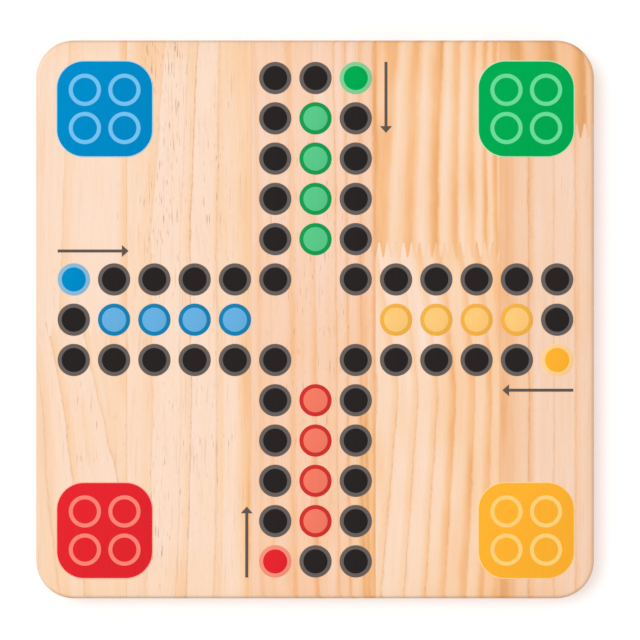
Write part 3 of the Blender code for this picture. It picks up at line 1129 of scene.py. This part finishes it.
def make_coloured_print(quarters, name):
    """The nest, start field and home fields of one colour, each depth of ink a piece of its own."""
    rim, strong, light, start, home_rings, home_centres = (bmesh.new() for _ in range(6))
    nest = turned([(-NEST_CENTRE, NEST_CENTRE)], quarters)[0]
    inner_side = NEST_SIDE - 2 * NEST_RIM
    inner_radius = NEST_CORNER_RADIUS - NEST_RIM
    add_plate(rim, rounded_square(nest, NEST_SIDE, NEST_CORNER_RADIUS, NEST_CORNER_SEGMENTS), FIRST_COAT)
    add_plate(strong, rounded_square(nest, inner_side, inner_radius, NEST_CORNER_SEGMENTS), SECOND_COAT)
    for centre in nest_ring_centres(quarters):
        add_ring(light, centre, FIELD_RADIUS, CENTRE_RADIUS, THIRD_COAT)
    fields = quarter_fields()
    for centre in field_centres(fields["start"], quarters):
        add_plate(start, circle(centre, FIELD_RADIUS), SECOND_COAT)
        add_plate(strong, circle(centre, CENTRE_RADIUS), THIRD_COAT)
    for centre in field_centres(fields["home"], quarters):
        add_plate(home_rings, circle(centre, FIELD_RADIUS), SECOND_COAT)
        add_plate(home_centres, circle(centre, CENTRE_RADIUS), THIRD_COAT)
    finish_ink(rim, f"print_{name}_nest_rim", name + "_rim")
    finish_ink(strong, f"print_{name}_strong", name)
    finish_ink(light, f"print_{name}_nest_rings", name + "_light")
    finish_ink(start, f"print_{name}_start_ring", name + "_start")
    finish_ink(home_rings, f"print_{name}_home_rings", name + "_home_ring")
    finish_ink(home_centres, f"print_{name}_home_centres", name + "_home")


def make_floor_white():
    """White that is partly its own light, for the camera, so that the shadow stays pale and warm."""
    nodes = Nodes("floor_white")
    nodes.tree.nodes.remove(nodes.shader)
    seen = nodes.add("ShaderNodeLightPath")
    diffuse = nodes.add("ShaderNodeBsdfDiffuse")
    tint = nodes.mix(seen.outputs["Is Diffuse Ray"], (*FLOOR_TINT, 1.0), (*FLOOR_BOUNCE, 1.0))
    nodes.put(diffuse.inputs["Color"], tint)
    glow = nodes.add("ShaderNodeEmission")
    nodes.put(glow.inputs["Color"], (*(FLOOR_WHITE - channel for channel in FLOOR_TINT), 1.0))
    looked_at = nodes.math("MAXIMUM", seen.outputs["Is Camera Ray"], seen.outputs["Is Glossy Ray"])
    looked_at = nodes.math("MAXIMUM", looked_at, seen.outputs["Is Transmission Ray"])
    nodes.put(glow.inputs["Strength"], looked_at)
    both = nodes.add("ShaderNodeAddShader")
    nodes.put(both.inputs[0], diffuse.outputs[0])
    nodes.put(both.inputs[1], glow.outputs[0])
    output = nodes.tree.nodes["Material Output"]
    nodes.put(output.inputs["Surface"], both.outputs[0])
    return nodes.material


def make_floor():
    """Floor, open under the flat of the board, so that light reaches the underside."""
    bm = bmesh.new()
    reach = FLOOR_SIZE / 2
    outer = [(-reach, -reach), (reach, -reach), (reach, reach), (-reach, reach)]
    inset = EDGE_ROUNDING + FLOOR_LIP
    opening = rounded_square((0.0, 0.0), BOARD_SIDE - 2 * inset, CORNER_RADIUS - inset, CORNER_SEGMENTS)
    edges = []
    for outline in (outer, opening):
        corners = [bm.verts.new((x, y, 0.0)) for x, y in outline]
        edges += [bm.edges.new(ends) for ends in zip(corners, corners[1:] + corners[:1])]
    bmesh.ops.triangle_fill(bm, edges=edges, use_beauty=True, normal=(0.0, 0.0, 1.0))
    mesh = bpy.data.meshes.new("floor")
    bm.to_mesh(mesh)
    bm.free()
    mesh.materials.append(make_floor_white())
    floor = add_object("floor", mesh)


def make_light():
    """Even pale sky with a broad soft lamp from the upper left of the photograph."""
    world = bpy.data.worlds.new("studio")
    bpy.context.scene.world = world
    world.use_nodes = True
    tree = world.node_tree
    background = tree.nodes["Background"]
    background.inputs["Color"].default_value = grey(1.0)
    seen = tree.nodes.new("ShaderNodeLightPath")
    strength = tree.nodes.new("ShaderNodeMapRange")
    tree.links.new(seen.outputs["Is Camera Ray"], strength.inputs["Value"])
    strength.inputs["To Min"].default_value = SKY_LIGHT
    strength.inputs["To Max"].default_value = 1.0
    tree.links.new(strength.outputs[0], background.inputs["Strength"])
    lamp = bpy.data.lights.new("soft_lamp", "SUN")
    lamp.energy = SUN_STRENGTH
    lamp.angle = SUN_SIZE
    sun = add_object("soft_lamp", lamp)
    sun.rotation_euler = (0.0, SUN_ZENITH, SUN_AZIMUTH)


def make_camera():
    lens = bpy.data.cameras.new("camera")
    lens.lens = LENS_MM
    lens.sensor_width = SENSOR_MM
    lens.clip_start = NEAREST_SEEN
    lens.clip_end = FARTHEST_SEEN
    camera = add_object("camera", lens)
    distance = VIEW_WIDTH * LENS_MM / SENSOR_MM
    camera.location = (*CAMERA_OFFSET, PRINT_TOP + distance)
    bpy.context.scene.camera = camera


make_camera()
make_light()
make_floor()
make_staves()
make_black_print()
for quarter, colour_name in enumerate(QUARTERS):
    make_coloured_print(quarter, colour_name)

bpy.context.scene.view_settings.view_transform = "Standard"
